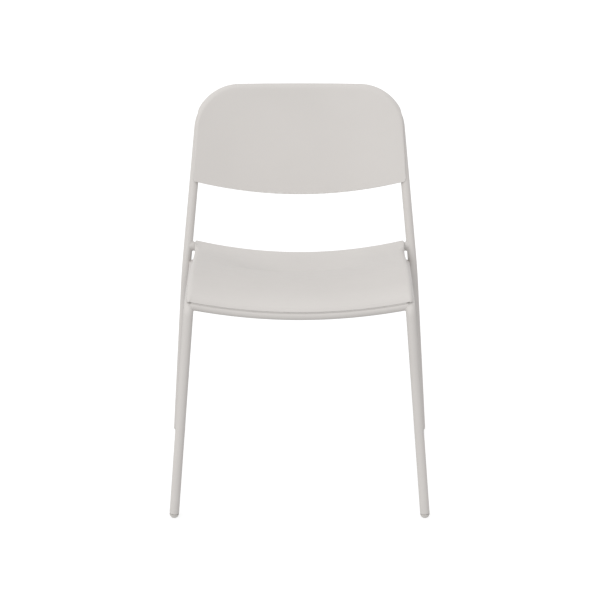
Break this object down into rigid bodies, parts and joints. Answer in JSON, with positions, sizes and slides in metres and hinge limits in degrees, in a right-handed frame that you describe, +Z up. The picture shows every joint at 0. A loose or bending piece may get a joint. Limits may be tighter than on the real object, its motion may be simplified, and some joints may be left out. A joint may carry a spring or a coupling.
{
  "type": "stacking chair",
  "caption": "Armless stacking chair: bent tube frame with splayed legs, dished pressed seat and a rounded pressed back shell wrapped over the hoop.",
  "frame": {"origin": "on the floor, under the middle of the chair's bounding box", "axes": "+Z up, +X towards the right side seen from the front, -Y the way the sitter faces"},
  "size_m": [0.5756, 0.5558, 0.7917],
  "materials": {
    "powder_coat": "fine matte powder coat, warm light grey",
    "glide_plastic": "moulded, matched to the frame",
    "pad_plastic": "soft moulded, slightly lighter than the frame",
    "screw_steel": "zinc-plated, satin"
  },
  "bodies": {
    "root": {"rear_frame": "powder_coat", "front_frame_left": "powder_coat", "front_frame_right": "powder_coat", "front_cross_rail": "powder_coat", "rear_cross_rail": "powder_coat", "seat_pan": "powder_coat", "back_shell": "powder_coat", "foot_plug_front_left": "glide_plastic", "foot_pad_front_left": "pad_plastic", "foot_plug_front_right": "glide_plastic", "foot_pad_front_right": "pad_plastic", "foot_plug_rear_left": "glide_plastic", "foot_pad_rear_left": "pad_plastic", "foot_plug_rear_right": "glide_plastic", "foot_pad_rear_right": "pad_plastic", "seat_front_left_tab": "powder_coat", "seat_front_left_boss": "powder_coat", "seat_front_left_screw": "screw_steel", "seat_front_right_tab": "powder_coat", "seat_front_right_boss": "powder_coat", "seat_front_right_screw": "screw_steel", "seat_rear_left_tab": "powder_coat", "seat_rear_left_boss": "powder_coat", "seat_rear_left_screw": "screw_steel", "seat_rear_right_tab": "powder_coat", "seat_rear_right_boss": "powder_coat", "seat_rear_right_screw": "screw_steel", "back_left_tab": "powder_coat", "back_left_boss": "powder_coat", "back_left_screw": "screw_steel", "back_right_tab": "powder_coat", "back_right_boss": "powder_coat", "back_right_screw": "screw_steel"}
  },
  "joints": []
}
